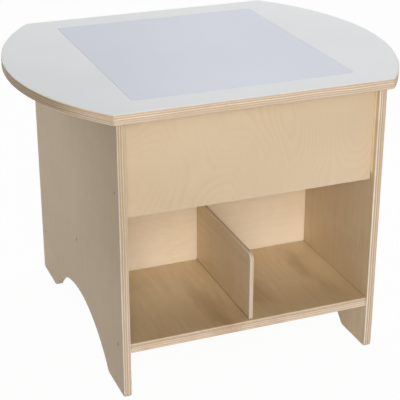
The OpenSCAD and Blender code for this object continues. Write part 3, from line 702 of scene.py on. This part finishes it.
# ---- Light bars ----
# Four drawn aluminium channels with a clear anodised finish, each with a white circuit strip, a
# row of emitters, an opal snap-on cover and white plastic end caps. White clips screwed to the
# box's floor hold them down.
bars = range(1, 5)
channel = Recipe("channel_aluminium")
along_draw = channel.calc_vector("MULTIPLY", channel.place, scales(Y, along=0.02, across=1.0))
draw_lines = channel.noise(along_draw, scale=2400.0, detail=3.0, roughness=0.6)
channel_metal = channel.finish(
    channel.clouded(draw_lines, paint(214, 216, 219), paint(198, 200, 204)),
    channel.wander(draw_lines, low=0.28, high=0.42),
    draw_lines,
    depth=0.00002,
    Metallic=1.0,
)


def moulded(name, first, second, roughness, scale=900.0, depth=0.00002):
    """Moulded plastic or rubber: a slight cloud in its colour and a fine mould texture."""
    recipe = Recipe(name)
    cloud = recipe.noise(recipe.place, scale=scale / 40, detail=3.0)
    texture = recipe.noise(recipe.place, scale=scale, roughness=0.6)
    return recipe.finish(
        recipe.clouded(cloud, first, second),
        recipe.wander(texture, low=roughness - 0.05, high=roughness + 0.05),
        texture,
        depth,
    )


opal_cover = moulded("opal_cover", paint(236, 238, 241), paint(231, 233, 237), roughness=0.38)
white_plastic = moulded("white_plastic", paint(236, 236, 233), paint(230, 230, 227), roughness=0.35)

# Spacing of the bars and of the emitters along them, from the solids themselves
bar_boxes = [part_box(f"led_channel_{bar}") for bar in bars]
bar_middles = [(low[X] + high[X]) / 2 for low, high in bar_boxes]
bar_pitch = bar_middles[1] - bar_middles[0]
strip_low, strip_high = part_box("led_strip_1")
emitters_per_bar = 16
emitter_pitch = (strip_high[Y] - strip_low[Y]) / emitters_per_bar


def from_emitter(recipe):
    """How far a point is from the nearest emitter's middle, across the bar and along it."""
    x, y, _ = recipe.parts(recipe.place)
    offsets = []
    for part, start, pitch in ((x, bar_middles[0], bar_pitch),
                               (y, strip_low[Y] + emitter_pitch / 2, emitter_pitch)):
        steps = recipe.calc("DIVIDE", recipe.calc("SUBTRACT", part, start), pitch)
        past = recipe.calc("SUBTRACT", steps, recipe.calc("ROUND", steps))
        offsets.append(recipe.calc("ABSOLUTE", recipe.calc("MULTIPLY", past, pitch)))
    return offsets


def within(recipe, distance, edge, blur):
    """1 nearer than the edge, which is blurred this far to each side."""
    return recipe.ease(distance, edge + blur, edge - blur)


def band(recipe, distance, inner, outer, blur):
    """1 between two edges, each blurred this far to each side."""
    past_inner = recipe.ease(distance, inner - blur, inner + blur)
    return all_of(recipe, past_inner, within(recipe, distance, outer, blur))


# Two copper tracks show faintly through the solder mask, and a pad at both ends of each emitter
track_show = 0.35
mask_roughness = 0.45
pad_smoother = -0.15
strip = Recipe("circuit_board")
strip_across, strip_along = from_emitter(strip)
strip_grain = strip.noise(strip.place, scale=800.0)
solder_mask = strip.clouded(strip_grain, paint(238, 238, 232), paint(231, 232, 225))
track = band(strip, strip_across, inner=0.0037, outer=0.0049, blur=0.0001)
pad = all_of(strip, band(strip, strip_along, inner=0.00215, outer=0.00295, blur=0.00005),
             within(strip, strip_across, edge=0.00145, blur=0.00005))
track_share = strip.calc("MULTIPLY", track, track_show)
strip_colour = strip.mix(track_share, solder_mask, paint(205, 206, 196))
circuit_board = strip.finish(
    strip.mix(pad, strip_colour, paint(196, 196, 190)),
    strip.calc("MULTIPLY_ADD", pad, pad_smoother, mask_roughness),
    strip.calc("ADD", track, pad),
    depth=0.00003,
)

# A sunk round of yellow phosphor in each emitter's white package
emitter = Recipe("led_phosphor")
squares = [emitter.calc("POWER", offset, 2.0) for offset in from_emitter(emitter)]
from_middle = emitter.calc("SQRT", emitter.calc("ADD", *squares))
phosphor = all_of(emitter, within(emitter, from_middle, edge=0.0011, blur=0.00005),
                  turned(emitter, Z, start=0.5, end=0.9))
phosphor_grain = emitter.noise(emitter.place, scale=2500.0)
phosphor_yellow = emitter.mix(phosphor_grain, paint(244, 214, 74), paint(232, 196, 58))
led_phosphor = emitter.finish(
    emitter.mix(phosphor, paint(238, 238, 234), phosphor_yellow),
    emitter.wander(phosphor_grain, low=0.35, high=0.5),
    emitter.calc("MULTIPLY", phosphor, -1.0),
    depth=0.0001,
)

for bar in bars:
    dress(channel_metal, f"led_channel_{bar}")
    dress(circuit_board, f"led_strip_{bar}")
    dress(opal_cover, f"led_cover_{bar}")
dress(led_phosphor, "led_chips")
dress(white_plastic, "led_end_caps", "led_cable_caps", "led_clips")


# ---- Leads inside the light box ----
# Round two-core leads with a white sheath: from the socket to the switch, down to the last bar,
# and from bar to bar. White plastic saddles hold them.
lead_sheath = moulded("lead_jacket", paint(232, 231, 227), paint(224, 223, 219), roughness=0.42,
                      scale=700.0)
dress(lead_sheath, "link_leads", "supply_lead", "inlet_lead")
dress(white_plastic, "lead_saddles")


# ---- Control plate ----
# A small steel plate at the rear with a pale grey powder coat, screwed over the cut-out that the
# switch and the power socket pass through.
plate_steel = moulded("plate_steel", paint(206, 208, 210), paint(198, 200, 203), roughness=0.48,
                      scale=1100.0, depth=0.00006)
dress(plate_steel, "control_plate")


# ---- Switch ----
# A rocker of black plastic in a black housing that snaps into the plate, with brass blades behind
# and a rubber boot over them. A bar and a ring, for on and off, are moulded in white plastic.
black_matt = moulded("black_plastic_textured", paint(34, 34, 36), paint(29, 29, 31),
                     roughness=0.42, scale=1600.0, depth=0.00004)
black_satin = moulded("black_plastic_satin", paint(28, 28, 30), paint(24, 24, 26),
                      roughness=0.24, depth=0.00001)
black_rubber = moulded("black_rubber", paint(38, 38, 38), paint(30, 30, 30), roughness=0.68,
                       scale=700.0, depth=0.00005)
tinned_brass = metal("tinned_brass", paint(214, 190, 132), paint(196, 172, 118), roughness=0.30,
                     scale=1800.0)
dress(black_matt, "rocker_housing")
dress(black_satin, "rocker_button")
dress(black_rubber, "switch_boot")
dress(tinned_brass, "switch_terminals")

# The rocker's two sloping faces, each from the crest at its end to the dip over the pivot
joint_places = {
    joint["name"]: joint.get("pos_m") for joint in frame["record"]["behaviour"]["joints"]}
pivot = Vector(joint_places["rocker_press"])
rest_tilt = math.radians(-8.0)
crest_out = 0.0046
dip_out = 0.0034
rocker_reach = 0.0078
face_slope = math.atan2(crest_out - dip_out, rocker_reach)

mark_raise = 0.00012
mark_sink = 0.00025
mark_round = 0.00008


def set_on_rocker(shape, side):
    """Turns a mark drawn flat onto the upper (1) or lower (-1) face of the rocker."""
    bmesh.ops.bevel(shape, geom=shape.edges[:], affect="EDGES", offset=mark_round, segments=2,
                    profile=0.5, material=-1)
    middle_out = (crest_out + dip_out) / 2
    stand = Matrix.Rotation(-math.pi / 2 - side * face_slope, 4, "X")
    onto_face = Matrix.Translation((0.0, middle_out, side * rocker_reach / 2))
    tilt = Matrix.Rotation(rest_tilt, 4, "X")
    onto_rocker = Matrix.Translation(pivot)
    bmesh.ops.transform(shape, matrix=onto_rocker @ tilt @ onto_face @ stand, verts=shape.verts)
    bmesh.ops.recalc_face_normals(shape, faces=shape.faces)


def add_piece(name, shape, material, body):
    """Makes a finished shape a piece of the table that rides on a body."""
    mesh = bpy.data.meshes.new(name)
    shape.to_mesh(mesh)
    shape.free()
    mesh.materials.append(material)
    piece = bpy.data.objects.new(name, mesh)
    bpy.context.scene.collection.objects.link(piece)
    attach(piece, body)


bar_width = 0.0007
bar_length = 0.0034
on_mark = bmesh.new()
bmesh.ops.create_cube(on_mark, size=1.0)
bmesh.ops.scale(on_mark, vec=(bar_width, bar_length, mark_raise + mark_sink), verts=on_mark.verts)
bmesh.ops.translate(on_mark, vec=(0.0, 0.0, (mark_raise - mark_sink) / 2), verts=on_mark.verts)
set_on_rocker(on_mark, side=1)
add_piece("rocker_on_mark", on_mark, white_plastic, "rocker")

ring_radius = 0.00165
ring_width = 0.0006
ring_sides = 40
off_mark = bmesh.new()
corners = [
    off_mark.verts.new((ring_radius + w, 0.0, h))
    for w, h in ((-ring_width / 2, -mark_sink), (ring_width / 2, -mark_sink),
                 (ring_width / 2, mark_raise), (-ring_width / 2, mark_raise))
]
sides = [off_mark.edges.new((corners[i], corners[(i + 1) % 4])) for i in range(4)]
bmesh.ops.spin(off_mark, geom=corners + sides, cent=(0.0, 0.0, 0.0), axis=(0.0, 0.0, 1.0),
               angle=math.tau, steps=ring_sides, use_merge=True)
bmesh.ops.remove_doubles(off_mark, verts=off_mark.verts, dist=1e-7)
set_on_rocker(off_mark, side=-1)
add_piece("rocker_off_mark", off_mark, white_plastic, "rocker")


# ---- Power socket ----
# A barrel socket of black plastic, clamped to the plate by a zinc-plated nut. Its centre pin and
# its solder tabs are brass, and a rubber boot covers the tabs.
dress(black_matt, "power_socket")
dress(zinc, "socket_nut")
dress(tinned_brass, "socket_pin", "socket_tabs")
dress(black_rubber, "socket_boot")
